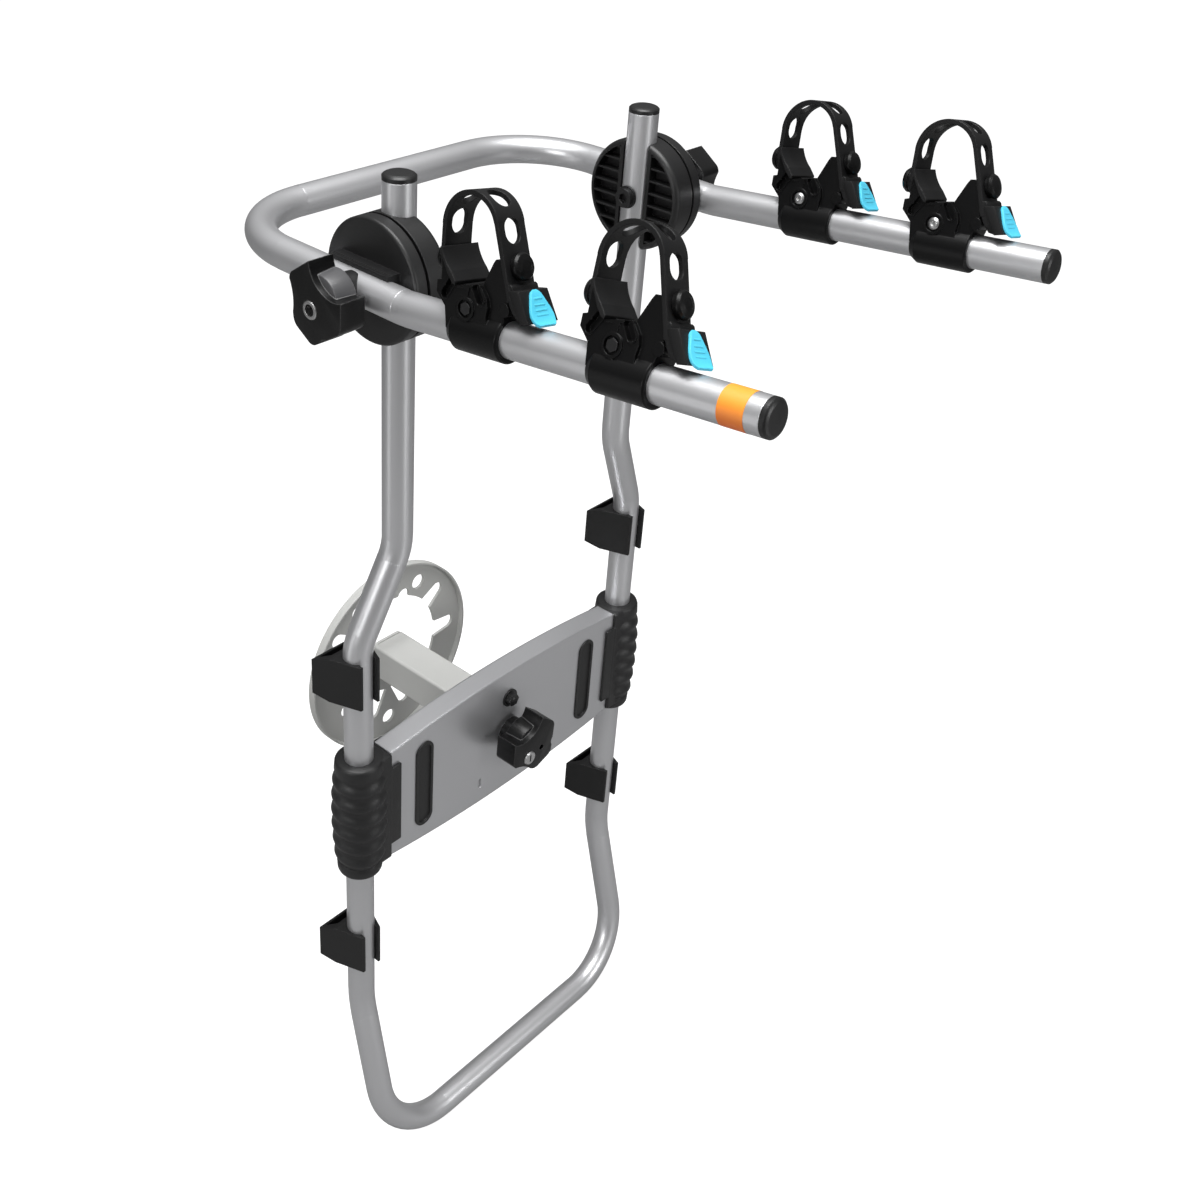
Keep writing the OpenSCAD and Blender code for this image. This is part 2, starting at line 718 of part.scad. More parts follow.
knob_x = washer_out + face_gap;
hub_nut_len = hub_knob_depth - 5;
hub_head_r = 8;
module hub_bolt(side) {
    color(black) at_hub(side) difference() {
        union() {
            hub_disc(bolt_d / 2, -tube_r - 0.5, knob_x + hub_nut_len - 2);
            hub_disc(hub_head_r + 1.5, -tube_r - 1.6, -tube_r);
            hub_disc(hub_head_r, -tube_r - 6, -tube_r - 1.5);
        }
        translate([-tube_r - 7, 0, 0]) rotate([0, 90, 0]) cylinder(r = 4.4, h = 5, $fn = 6);
    }
}

module hub_bolt_left() { hub_bolt(-1); }
module hub_bolt_right() { hub_bolt(1); }

// Hub knobs: local x of the knob points down and y back once it is on its hub
hub_scoop_angle_left = 217;
hub_scoop_angle_right = 145;
hub_lock_at = [8.6, 5];
hub_lock_sink = 4;
module on_hub_knob(side) {
    at_hub(side) translate([knob_x, 0, 0]) rotate([0, 90, 0]) children();
}

module hub_knob(side) {
    color(black) on_hub_knob(side) difference() {
        rotate(side < 0 ? hub_scoop_angle_left : hub_scoop_angle_right)
            knob(knob_r, hub_knob_depth, hub_nut_len);
        translate([hub_lock_at.x, hub_lock_at.y, hub_knob_depth - hub_lock_sink]) difference() {
            cylinder(d = lock_d + 2 * bolt_gap, h = 10);
            cylinder(d = lock_d - 5 - 2 * bolt_gap, h = hub_lock_sink - 0.4);
        }
    }
}

// Insert for the bolt, and the metal ring of the lock in the knob's face
module hub_nut(side) {
    color("silver") on_hub_knob(side) {
        knob_nut(hub_nut_len);
        translate([hub_lock_at.x, hub_lock_at.y, hub_knob_depth - hub_lock_sink]) difference() {
            union() {
                cylinder(d = lock_d, h = hub_lock_sink);
                translate([0, 0, hub_lock_sink]) cylinder(d1 = lock_d, d2 = lock_d - 1, h = 0.6);
            }
            translate([0, 0, -1]) cylinder(d = lock_d - 5, h = 8);
        }
    }
}

module hub_knob_left() { hub_knob(-1); }
module hub_knob_right() { hub_knob(1); }
module hub_nut_left() { hub_nut(-1); }
module hub_nut_right() { hub_nut(1); }

// Tyre pads: a wedge that narrows towards the mast and clips round it
module tyre_pad(side, z) {
    front = -tube_r - 2.6;
    front_half = 10.5;
    slope = (tyre_pad_half - front_half) / (tyre_pad_reach - front);
    color(black) translate([side * mast_low_x, mast_y, z]) difference() {
        intersection() {
            translate([0, 0, -tyre_pad_h]) linear_extrude(2 * tyre_pad_h) polygon([
                [-front_half, front], [front_half, front],
                [tyre_pad_half, tyre_pad_reach], [-tyre_pad_half, tyre_pad_reach]]);
            across(-tyre_pad_half - 5, tyre_pad_half + 5) polygon([
                [front - 1, -tyre_pad_h / 2], [tube_r, -tyre_pad_h / 2],
                [tyre_pad_reach + 1, -tyre_pad_back_h / 2], [tyre_pad_reach + 1, tyre_pad_back_h / 2],
                [tube_r, tyre_pad_h / 2], [front - 1, tyre_pad_h / 2]]);
        }
        cylinder(r = hold_r, h = 3 * tyre_pad_h, center = true);
        translate([0, front, 0]) cube([2 * front_half - 5, -2 * front, 3 * tyre_pad_h], center = true);
        // moulded pockets from above and below leave a web in the middle
        for (end = [-1, 1]) translate([0, 0, end * (tyre_pad_h / 2 + 3)])
            linear_extrude(2 * tyre_pad_h / 2 - 6, center = true)
            polygon([
                [-tube_r - 1, tube_r + 4], [tube_r + 1, tube_r + 4],
                [tyre_pad_half - 5, tyre_pad_reach - 3], [-tyre_pad_half + 5, tyre_pad_reach - 3]]);
    }
}

module tyre_pad_upper_left() { tyre_pad(-1, pad_up_z); }
module tyre_pad_upper_right() { tyre_pad(1, pad_up_z); }
module tyre_pad_lower_left() { tyre_pad(-1, pad_down_z); }
module tyre_pad_lower_right() { tyre_pad(1, pad_down_right_z); }

// Cradle frame: x across the arm, -y along the arm to its tip, z away from the arm
module at_cradle(side, along_arm, tilt) {
    in_arm_frame() translate([side * arm_x, -arm_bend, 0]) rotate([-arm_rise, 0, 0])
        translate([0, -along_arm, 0]) rotate([0, tilt, 0]) children();
}

// Draws a child, given in the cradle's Y Z plane, across the cradle
module across(x0, x1) {
    translate([x0, 0, 0]) rotate([90, 0, 90]) linear_extrude(x1 - x0) children();
}

clamp_r = tube_r + clamp_wall;
boss_y = 9;
boss_z = clamp_r - 0.4;
boss_r = 8;
post_y = 32.7;
strap_inset = 0.1;
arch_y = post_y + face_gap - strap_in_r - strap_inset;
arch_z = 67;
lean = 19;
strap_leg = 50;

// Foot of the strap's front leg, t along the leg and n outward from the arch's inside
function leg_point(t, n) = [
    arch_y - (strap_in_r + n) * cos(lean) - t * sin(lean),
    arch_z + (strap_in_r + n) * sin(lean) - t * cos(lean)];

fin_top = leg_point(23.5, strap_inset - face_gap);
fin_low = leg_point(43, strap_inset - face_gap);
fin_half = 11;
// slope of the post that the rubber pad lies on, from its top down to the trough
seat_back = [[post_y, 47.5], [31.2, 47.5], [24.6, 36.2], [20, 31], [17.6, 30]];
body_outline = concat(
    [[clamp_back, 0], [clamp_back + 2, 14], [30.4, 16.5], [36.3, 22.3], [36.3, 30], [post_y, 31]], seat_back,
    [[-2.3, 33.5], [-8.5, 26], [-10, 20], [-9, 14], [-10.5, 0]]);
fin_outline = [
    [0, 30], [-2.3, 33.5], [-9.6, 48.6], [-11.6, 51.6], fin_top, fin_low,
    [-24.5, 25], [-22.5, 17], [-clamp_front, 12], [-clamp_front, 0], [0, 0]];

// Finger-shaped pockets with raised edges, and the ledge and rib between them
rear_finger = [[28.6, 22.4], [22.6, 31.4]];
mid_finger = [[-3.6, 23.8], [0.6, 30.6]];
finger_r = 3.1;
rib_t = 1;
pocket_depth = 4;
module finger(ends, r) {
    run = ends[1] - ends[0];
    for (p = ends) translate(p) circle(r = r);
    translate(ends[0]) rotate(atan2(run.y, run.x)) translate([0, 0.05 - r]) square([norm(run), 2 * r - 0.1]);
}

module side_ribs() {
    intersection() {
        union() {
            finger(rear_finger, finger_r + rib_t);
            finger(mid_finger, finger_r + rib_t);
        }
        polygon(body_outline);
    }
    polygon([[17.6, 30], [17.4, 28.4], [-2.6, 31.8], [-2.3, 33.5]]);
    translate([boss_y - 0.2, boss_z]) rotate(10) translate([0, 6]) square([4.4, 9.5]);
    translate([boss_y - 2.4, 4]) square([4.8, 8]);
}

module cradle_body() {
    half = cradle_w / 2;
    color(black) difference() {
        union() {
            // clamp round the arm, chamfered at its rear end
            rotate([90, 0, 0]) translate([0, 0, -clamp_back]) rotate_extrude() polygon([
                [0, 0], [clamp_r - 3, 0], [clamp_r, 5], [clamp_r, clamp_back + clamp_front - 1],
                [clamp_r - 1, clamp_back + clamp_front], [0, clamp_back + clamp_front]]);
            across(-half, half) polygon(body_outline);
            across(-fin_half, fin_half) polygon(fin_outline);
            across(-half - 0.8, half + 0.8) side_ribs();
            // round bosses of the clamp screw and of the front pin
            translate([-half - 1.2, boss_y, boss_z]) rotate([0, 90, 0])
                cylinder(r = boss_r, h = cradle_w + 2.4);
            translate([-half + 1.4, -23, 21]) rotate([0, 90, 0]) cylinder(r = 4.4, h = cradle_w - 2.8);
            strap_studs();
        }
        for (s = [-1, 1]) {
            across(s > 0 ? half - pocket_depth : -half - 1, s > 0 ? half + 1 : -half + pocket_depth) {
                intersection() {
                    finger(rear_finger, finger_r);
                    translate([-5, -3.2]) polygon(body_outline);
                }
                finger(mid_finger, finger_r);
            }
            translate([s * (half + 1.2), boss_y, boss_z]) rotate([0, 90, 0])
                cylinder(r = boss_r - 2, h = 2 * screw_sink, center = true);
        }
        translate([0, clamp_back + 12, 0]) rotate([90, 0, 0])
            cylinder(r = hold_r, h = clamp_back + clamp_front + 24);
        translate([0, boss_y, boss_z]) rotate([0, 90, 0])
            cylinder(r = screw_r + bolt_gap, h = cradle_w + 6, center = true);
    }
}

// Studs that hold the strap: one behind the post and one on the fin
rear_stud_z = 43.6;
stud_r = 3.6;
front_stud_t = 29.2;
head_z = strap_t + face_gap;
module strap_studs() {
    translate([0, post_y, rear_stud_z]) rotate([-90, 0, 0]) rotate_extrude() polygon([
        [0, -1.2], [stud_r, -1.2], [stud_r, head_z + 0.1], [8.6, head_z + 0.1], [8.6, head_z + 3],
        [9.4, head_z + 3.4], [9.4, head_z + 5.4], [7.8, head_z + 7.6], [0, head_z + 8.6]]);
    at_leg(front_stud_t) rotate_extrude() polygon([
        [0, -5], [stud_r, -5], [stud_r, head_z], [8.2, head_z], [8.2, head_z + 2.4],
        [9.2, head_z + 2.8], [9.2, head_z + 4.4], [7.8, head_z + 6], [4, head_z + 6.9], [0, head_z + 7.1]]);
}

// Places +Z outward through the strap's front leg, t along the leg
module at_leg(t) {
    p = leg_point(t, 0);
    translate([0, p.x, p.y]) rotate([90 - lean, 0, 0]) children();
}

// Draws a child, given along and outward from the front leg, across the cradle
module leg_across(half) {
    at_leg(0) translate([-half, 0, 0]) rotate([90, 0, 90]) linear_extrude(2 * half) mirror([1, 0]) children();
}

screw_r = 2.5;
screw_sink = 2.6;
module clamp_screw(side) {
    half = cradle_w / 2 + 1.2 - screw_sink;
    color("silver") translate([0, boss_y, boss_z]) scale([side, 1, 1]) {
        translate([-half, 0, 0]) rotate([0, 90, 0]) cylinder(r = screw_r, h = 2 * half + eps);
        translate([half, 0, 0]) rotate([0, 90, 0]) difference() {
            rotate_extrude() polygon([[0, 0], [5, 0], [4.6, 1.6], [3, 2.6], [0, 3]]);
            translate([0, 0, 1.2]) cylinder(r = 2, h = 4, $fn = 6);
        }
        translate([-half, 0, 0]) rotate([0, -90, 0]) cylinder(r = 4.6, h = 2.2, $fn = 6);
    }
}

// Rubber pad over the front of the post, hollowed to seat a round bike tube
pad_half = 17;
pad_hollow_r = 32;
module saddle() {
    color([0.1, 0.1, 0.11]) difference() {
        across(-pad_half, pad_half) polygon(concat(
            [[post_y, 52.3], [31.3, 53], [21.6, 38.3], [16.9, 32.4]], reversed(seat_back)));
        translate([0, 0.7, 62.6]) rotate([0, 90, 0])
            cylinder(r = pad_hollow_r, h = 2 * pad_half + 4, center = true);
    }
}

// Strap: up the back of the post, over the arch and down the fin
strap_rim = 0.7;
strap_hole_angles = [3, 60.4, 117.6];
strap_hole_t = 5.6;
strap_hole_run = 3;
module strap() {
    flat_t = strap_t - 2 * strap_inset;
    flat_w = strap_w - 2 * strap_inset;
    color(black) difference() {
        union() {
            translate([0, arch_y, arch_z]) rotate([90, 0, 90]) rotate_extrude(angle = 180 - lean)
                translate([strap_in_r, -strap_w / 2]) square([strap_t, strap_w]);
            // straight legs, lapped a little way into the arch
            translate([-flat_w / 2, arch_y + strap_in_r + strap_inset, rear_stud_z])
                cube([flat_w, flat_t, arch_z - rear_stud_z + 1]);
            at_leg(0) translate([-flat_w / 2, -strap_leg, strap_inset]) cube([flat_w, strap_leg + 1, flat_t]);
            // rounded rear end, and a pull end that thickens and kicks outward
            translate([0, arch_y + strap_in_r + 2 * strap_inset, rear_stud_z]) rotate([-90, 0, 0])
                cylinder(d = strap_w - 1, h = strap_t - 4 * strap_inset);
            intersection() {
                leg_across(strap_w / 2 - 0.3) polygon(concat(
                    [[47, 0.3], [39.4, 0.3], [39.4, 5]], pull_back, [[65, 8.6], [62.5, 4.2], [54, 1.6]]));
                at_leg(0) linear_extrude(14) polygon([
                    [-strap_w / 2, -38], [strap_w / 2, -38], [strap_w / 2, -57],
                        [9, -66], [-9, -66], [-strap_w / 2, -57]]);
            }
        }
        translate([0, post_y - 1, rear_stud_z]) rotate([-90, 0, 0])
            cylinder(r = stud_r + bolt_gap, h = strap_t + 5);
        at_leg(front_stud_t) translate([0, 0, -1]) cylinder(r = stud_r + bolt_gap, h = strap_t + 4);
        // long holes that fit over the studs at other bike tube sizes
        for (a = strap_hole_angles) translate([0, arch_y, arch_z]) rotate([a - 90, 0, 0])
            translate([0, 0, strap_in_r - 3]) linear_extrude(strap_t + 6)
                pill(strap_hole_d, strap_hole_d + strap_hole_run);
        at_leg(strap_hole_t) translate([0, 0, -4]) linear_extrude(strap_t + 8)
            pill(strap_hole_d, strap_hole_d + strap_hole_run);
    }
}
pull_back = [[41, 6.2], [50, 6.8], [58, 8], [64, 9.6]];

// Coloured pull tab, let into the strap's end, broad and lipped at the bottom
module strap_tab() {
    color([0.25, 0.8, 0.95]) intersection() {
        leg_across(10) polygon(concat(
            [[41, 7.6], [43, 8.6], [47, 9.2], [54, 9], [58.5, 9.8], [62, 11.8],
                [64.4, 13], [66, 12.2], [66.4, 9]],
            [[66, 6.6], [65.4, 6.6], [65.3, 9.6]], reversed(pull_back)));
        at_leg(0) linear_extrude(16) polygon([
            [-4.7, -46.4], [-4.3, -44], [-2.6, -42.1], [0, -41.6], [2.6, -42.1], [4.3, -44], [4.7, -46.4],
            [5.4, -52], [8.8, -62], [8.8, -68], [-8.8, -68], [-8.8, -62], [-5.4, -52]]);
    }
}

CRADLES = [
    [-1, cradle_left[0], tilt_left[0]], [-1, cradle_left[1], tilt_left[1]],
    [1, cradle_right[0], tilt_right[0]], [1, cradle_right[1], tilt_right[1]],
];
module on_cradle(i) {
    at_cradle(CRADLES[i][0], CRADLES[i][1], CRADLES[i][2]) children();
}

module cradle_left_rear() { on_cradle(0) cradle_body(); }
module cradle_left_front() { on_cradle(1) cradle_body(); }
module cradle_right_rear() { on_cradle(2) cradle_body(); }
module cradle_right_front() { on_cradle(3) cradle_body(); }
module saddle_left_rear() { on_cradle(0) saddle(); }
module saddle_left_front() { on_cradle(1) saddle(); }
module saddle_right_rear() { on_cradle(2) saddle(); }
module saddle_right_front() { on_cradle(3) saddle(); }
module strap_left_rear() { on_cradle(0) strap(); }
module strap_left_front() { on_cradle(1) strap(); }
module strap_right_rear() { on_cradle(2) strap(); }
module strap_right_front() { on_cradle(3) strap(); }
module tab_left_rear() { on_cradle(0) strap_tab(); }
module tab_left_front() { on_cradle(1) strap_tab(); }
module tab_right_rear() { on_cradle(2) strap_tab(); }
module tab_right_front() { on_cradle(3) strap_tab(); }
module screw_left_rear() { on_cradle(0) clamp_screw(1); }
module screw_left_front() { on_cradle(1) clamp_screw(1); }
module screw_right_rear() { on_cradle(2) clamp_screw(-1); }
module screw_right_front() { on_cradle(3) clamp_screw(-1); }

mast_tube();
mast_caps();
arm_tube();
arm_caps();
plate();
plate_strips();
plate_bolt();
plate_nut();
grip_left();
grip_right();
wheel_disc();
bracket_tube();
centre_bolt();
centre_knob();
centre_nut();
lock_barrel();
hub_fixed_left();
hub_fixed_right();
hub_turn_left();
hub_turn_right();
hub_bolt_left();
hub_bolt_right();
hub_washers();
hub_knob_left();
hub_knob_right();
hub_nut_left();
hub_nut_right();
tyre_pad_upper_left();
tyre_pad_upper_right();
tyre_pad_lower_left();
tyre_pad_lower_right();
cradle_left_rear();
cradle_left_front();
cradle_right_rear();
cradle_right_front();
saddle_left_rear();
saddle_left_front();
saddle_right_rear();
saddle_right_front();
strap_left_rear();
strap_left_front();
strap_right_rear();
strap_right_front();
tab_left_rear();
tab_left_front();
tab_right_rear();
tab_right_front();
screw_left_rear();
screw_left_front();
screw_right_rear();
screw_right_front();
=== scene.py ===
import math
import bpy
from mathutils import Matrix, Vector


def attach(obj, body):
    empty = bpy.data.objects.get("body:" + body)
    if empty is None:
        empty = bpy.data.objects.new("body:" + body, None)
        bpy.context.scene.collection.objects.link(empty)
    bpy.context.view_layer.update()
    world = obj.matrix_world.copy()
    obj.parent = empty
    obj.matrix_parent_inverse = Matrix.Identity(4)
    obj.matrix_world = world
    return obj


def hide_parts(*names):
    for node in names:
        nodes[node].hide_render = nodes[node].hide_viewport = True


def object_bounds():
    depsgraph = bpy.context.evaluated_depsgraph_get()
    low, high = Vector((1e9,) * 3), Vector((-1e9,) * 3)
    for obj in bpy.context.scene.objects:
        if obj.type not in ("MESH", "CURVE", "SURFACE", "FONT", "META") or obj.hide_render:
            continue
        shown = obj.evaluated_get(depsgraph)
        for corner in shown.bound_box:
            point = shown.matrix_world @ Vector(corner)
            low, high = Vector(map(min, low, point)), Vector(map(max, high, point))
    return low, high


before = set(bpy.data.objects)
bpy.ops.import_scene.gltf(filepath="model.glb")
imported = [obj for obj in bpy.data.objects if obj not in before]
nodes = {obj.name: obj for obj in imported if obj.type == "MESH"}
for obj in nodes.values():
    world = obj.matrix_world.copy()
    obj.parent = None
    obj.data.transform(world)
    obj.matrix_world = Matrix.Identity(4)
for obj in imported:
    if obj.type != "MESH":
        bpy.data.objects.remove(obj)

cad_box = [list(corner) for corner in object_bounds()]


# Mast: one steel tube, bent into two uprights and a foot loop, with a satin silver
# powder paint over it, which has a fine metallic flake and a slight orange peel. The
# arms' tube has the same paint.
class Shade:
    """A value in a finish's nodes. Arithmetic on it adds Math nodes."""

    def __init__(self, finish, socket):
        self.finish = finish
        self.socket = socket

    def maths(self, operation, *values):
        return self.finish.add("ShaderNodeMath", {"operation": operation}, dict(enumerate(values)))

    def __add__(self, other):
        return self.maths("ADD", self, other)

    __radd__ = __add__

    def __sub__(self, other):
        return self.maths("SUBTRACT", self, other)

    def __rsub__(self, other):
        return self.maths("SUBTRACT", other, self)

    def __mul__(self, other):
        return self.maths("MULTIPLY", self, other)

    def __truediv__(self, other):
        return self.maths("DIVIDE", self, other)

    def ramp(self, low, high):
        """Runs from 0 to 1 while the value runs from low to high."""
        sockets = {"Value": self, "From Min": low, "From Max": high}
        return self.finish.add("ShaderNodeMapRange", {}, sockets)


class Finish:
    """One paint, plastic or metal: a node tree round a single shader."""

    def __init__(self, name, **fixed):
        self.material = bpy.data.materials.new(name)
        self.material.use_nodes = True
        self.tree = self.material.node_tree
        self.shader = self.tree.nodes["Principled BSDF"]
        for socket, value in fixed.items():
            self.shader.inputs[socket.replace("_", " ")].default_value = value

    def add(self, kind, settings=None, sockets=None, out=0):
        """Adds a node, fills its settings and sockets, and gives one of its outputs."""
        node = self.tree.nodes.new(kind)
        for name, value in (settings or {}).items():
            setattr(node, name, value)
        for name, value in (sockets or {}).items():
            self.feed(node.inputs[name], value)
        return Shade(self, node.outputs[out])

    def feed(self, socket, value):
        if isinstance(value, Shade):
            self.tree.links.new(value.socket, socket)
        else:
            socket.default_value = value

    def set(self, name, value):
        self.feed(self.shader.inputs[name], value)

    def place(self):
        """The place on the piece, in metres."""
        spot = self.add("ShaderNodeTexCoord", out="Object")
        return self.add("ShaderNodeMapping", {}, {"Vector": spot})

    def noise(self, scale, detail):
        """A cloudy pattern from 0 to 1, with about this many clouds to a metre."""
        sockets = {"Vector": self.place(), "Scale": scale, "Detail": detail}
        return self.add("ShaderNodeTexNoise", {}, sockets)

    def mix(self, share, first, second):
        """A colour between two, by the second one's share."""
        sockets = {0: share, 6: first, 7: second}
        return self.add("ShaderNodeMix", {"data_type": "RGBA"}, sockets, out=2)

    def dimmed(self, tint, light):
        """A colour times a brightness."""
        sockets = {0: tint, "Scale": light}
        return self.add("ShaderNodeVectorMath", {"operation": "SCALE"}, sockets)

    def soft_edges(self, radius):
        """The surface's direction, with edges rounded to a radius."""
        return self.add("ShaderNodeBevel", {"samples": 4}, {"Radius": radius})

    def edge_highlight_mask(self, rounded):
        """Runs from 0 on plain faces to 1 on edges, where the rounding turns the surface."""
        flat = self.add("ShaderNodeNewGeometry", out="Normal")
        match = self.add("ShaderNodeVectorMath", {"operation": "DOT_PRODUCT"},
                         {0: rounded, 1: flat}, out="Value")
        return (1 - match).ramp(0.01, 0.2)

    def bump(self, height, strength, distance, normal):
        """Raises the surface by a pattern, on top of its rounded edges."""
        sockets = {"Height": height, "Strength": strength, "Distance": distance, "Normal": normal}
        return self.add("ShaderNodeBump", {}, sockets)

    def coat_node(self, *names):
        """Gives the finish to solids of the part."""
        for name in names:
            cad = nodes[name].data
            cad.materials.clear()
            cad.materials.append(self.material)


def silver_paint(name, tint, edge):
    """Silver powder paint with a metallic flake, on edges rounded to a radius."""
    paint = Finish(name, Metallic=0.8, Coat_Weight=0.15, Coat_Roughness=0.2, IOR=1.5)
    flake = paint.noise(2600, 2.0)
    cloud = paint.noise(9, 2.0)
    peel = paint.noise(620, 2.0)
    rounded = paint.soft_edges(edge)
    paint.set("Base Color", paint.dimmed(tint, 0.93 + flake * 0.1 + cloud * 0.05))
    paint.set("Roughness", 0.3 + flake * 0.06 + cloud * 0.06)
    paint.set("Normal", paint.bump(peel + flake * 0.35, 0.12, 0.0003, rounded))
    return paint


silver = silver_paint("silver_tube_paint", (0.62, 0.622, 0.636), 0.0009)
silver.coat_node("mast_tube", "arm_tube")


# Arm band: a printed orange foil, wrapped once round the left arm just short of its cap.
# A painted highlight on its top runs to painted shade underneath; the small words are left off.
arm_rise = math.radians(5.6)
band_at = Vector((-0.1775, -0.488, 0.52229))
band_radius, band_width = 0.01282, 0.0185
band_low, band_high = 0.513, 0.531
# painted light on the band: lighter orange on the top, deeper orange in the shade beneath
shaded_under_orange, lit_top_orange = (0.86, 0.16, 0.008, 1), (0.9, 0.32, 0.03, 1)
band_ink = Finish("orange_foil", IOR=1.5, Coat_Weight=0.3, Coat_Roughness=0.25)
height = band_ink.add("ShaderNodeSeparateXYZ", {}, {"Vector": band_ink.place()}, out="Z")
grain = band_ink.noise(1400, 2.0)
orange = band_ink.mix(height.ramp(band_low, band_high), shaded_under_orange, lit_top_orange)
band_ink.set("Base Color", orange)
band_ink.set("Roughness", 0.38 + grain * 0.1)
bpy.ops.object.select_all(action="DESELECT")
bpy.ops.mesh.primitive_cylinder_add(vertices=96, radius=band_radius, depth=band_width,
                                    end_fill_type="NOTHING", location=band_at,
                                    rotation=(math.radians(90) - arm_rise, 0, 0))
band = bpy.context.object
band.name = "arm_band"
bpy.ops.object.transform_apply(location=True, rotation=True, scale=True)
bpy.ops.object.shade_smooth()
band.data.materials.append(band_ink.material)
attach(band, "arms")


# Tube caps: push-in plugs moulded in black polyethylene, with a low domed face and a
# flange that covers the cut end of the tube. Like all the black mouldings they have a
# fine spark-etched skin, smoother along the edges, where a painted highlight lightens them.
def black_moulding(name, dark, rough, grain, edge, highlight_lift=2.4):
    """Black plastic or rubber of a grey, a roughness, a skin's grain and an edge radius.

    A painted highlight along its edges and the clouds in it go up to a lighter grey, by the last
    argument's factor.
    """
    plastic = Finish(name, IOR=1.5, Specular_IOR_Level=0.5)
    rounded = plastic.soft_edges(edge)
    skin = plastic.noise(grain, 3.0)
    cloud = plastic.noise(22, 3.0)
    edge_highlight = plastic.edge_highlight_mask(rounded)
    face_grey = (dark, dark, dark * 1.05, 1)
    highlight_and_tone_grey = (dark * highlight_lift, dark * highlight_lift, dark * highlight_lift, 1)
    # painted highlight: edges are lightened towards the lighter grey, and the clouds add random
    # tone
    plastic.set("Base Color", plastic.mix(edge_highlight * 0.5 + cloud * 0.53 / highlight_lift, face_grey, highlight_and_tone_grey))
    plastic.set("Roughness", rough + skin * 0.1 + cloud * 0.08 - edge_highlight * 0.08)
    plastic.set("Normal", plastic.bump(skin, 0.25, 0.0002, rounded))
    return plastic


cap_black = black_moulding("cap_plastic", dark=0.006, rough=0.3, grain=1500, edge=0.0008)
cap_black.coat_node("mast_caps", "arm_caps")


# Plate: steel sheet 2 mm thick, pressed with bowed long edges folded back and painted
# like the tubes, with two rubber strips in long slots and a black bolt near its top
# edge. The maker's lettering is left off.
plate_paint = silver_paint("silver_plate_paint", (0.6, 0.603, 0.62), 0.0028)
plate_paint.coat_node("plate")
strip_rubber = black_moulding("strip_rubber", dark=0.008, rough=0.42, grain=1100, edge=0.0012)
strip_rubber.coat_node("plate_strips")
black_bolt_and_screw_shade = black_moulding("black_bolt_and_painted_screw_shade", dark=0.008, rough=0.25, grain=1800, edge=0.0005)
black_bolt_and_screw_shade.coat_node("plate_bolt")


# Small steel parts: zinc-plated bolts, nuts and washers, with a bright passivated skin
# that is faintly clouded.
def plated_steel(name, tint, rough):
    """Zinc-plated steel of a tint and a roughness."""
    steel = Finish(name, Metallic=1.0)
    cloud = steel.noise(90, 4.0)
    fine = steel.noise(1400, 2.0)
    rounded = steel.soft_edges(0.0004)
    steel.set("Base Color", steel.dimmed(tint, 0.85 + cloud * 0.3))
    steel.set("Roughness", rough + cloud * 0.14)
    steel.set("Normal", steel.bump(fine, 0.15, 0.0001, rounded))
    return steel


bright_steel = plated_steel("zinc_plated_steel", (0.62, 0.62, 0.62), 0.22)
bright_steel.coat_node("plate_nut", "centre_bolt", "centre_nut", "hub_nut_left", "hub_nut_right",
                       "lock_barrel")
black_bolt_and_screw_shade.coat_node("hub_bolt_left", "hub_bolt_right")


# Grips: soft black sleeves, moulded in one with the block that takes the plate's end.
# Below a smooth collar the sleeve has six deep finger waves, which dip a little at the
# front, and a thin lip of the block lies in front of the plate.
grip_black = black_moulding("grip_plastic", dark=0.008, rough=0.36, grain=900, edge=0.0012)
grip_black.coat_node("grip_left", "grip_right")
MM = 0.001
mast_x, mast_y = 175.5 * MM, -154 * MM
hold_radius = 12.8 * MM
sleeve_top, sleeve_low = 60 * MM, -66.4 * MM
# heights and radii of the collar and of the rounded low end, in millimetres
collar = ((60, 19), (59, 20.6), (57.5, 21.2), (50, 21.8))
low_end = ((-56, 20.6), (-63.5, 20.2), (-65.5, 19.4), (-66.3, 18))
# the finger waves: radius between them, bulge of the barrel and depth, in millimetres
sleeve_radius, sleeve_bulge, wave_depth = 20.6, 4.4, 2.6
bulge_half = 66 * MM
wave_count, wave_pitch, wave_top, wave_steps = 6, 16.6 * MM, 46 * MM, 8
# the waves sag at their front, outside a radius and short of the sleeve's ends
wave_sag, sag_reach, sag_radius, sag_half, front_match = 2.2 * MM, 14 * MM, 17 * MM, 53 * MM, 0.99
# the block's slabs: near and far X, front and back from the mast's axis, half height, rounding
block_end = mast_x - hold_radius * 0.4
grip_slabs = (("grip_core", 152.2 * MM, block_end, -18 * MM, 9 * MM, 59.4 * MM, 2 * MM),
              ("grip_lip", 141 * MM, 156 * MM, -17.9 * MM, -15.1 * MM, 44 * MM, 1.2 * MM),
              ("grip_back", 141 * MM, 156 * MM, 6.1 * MM, 8.9 * MM, 59 * MM, 1.2 * MM))


def fresh(name):
    """Names the piece that was just added."""
    piece = bpy.context.object
    piece.name = name
    return piece


def pick(piece, wanted):
    """Enters edit mode with only those vertices selected whose place passes a test."""
    bpy.ops.object.mode_set(mode="EDIT")
    bpy.ops.mesh.select_mode(type="VERT")
    bpy.ops.mesh.select_all(action="DESELECT")
    bpy.ops.object.mode_set(mode="OBJECT")
    for vertex in piece.data.vertices:
        vertex.select = bool(wanted(vertex.co))
    bpy.ops.object.mode_set(mode="EDIT")


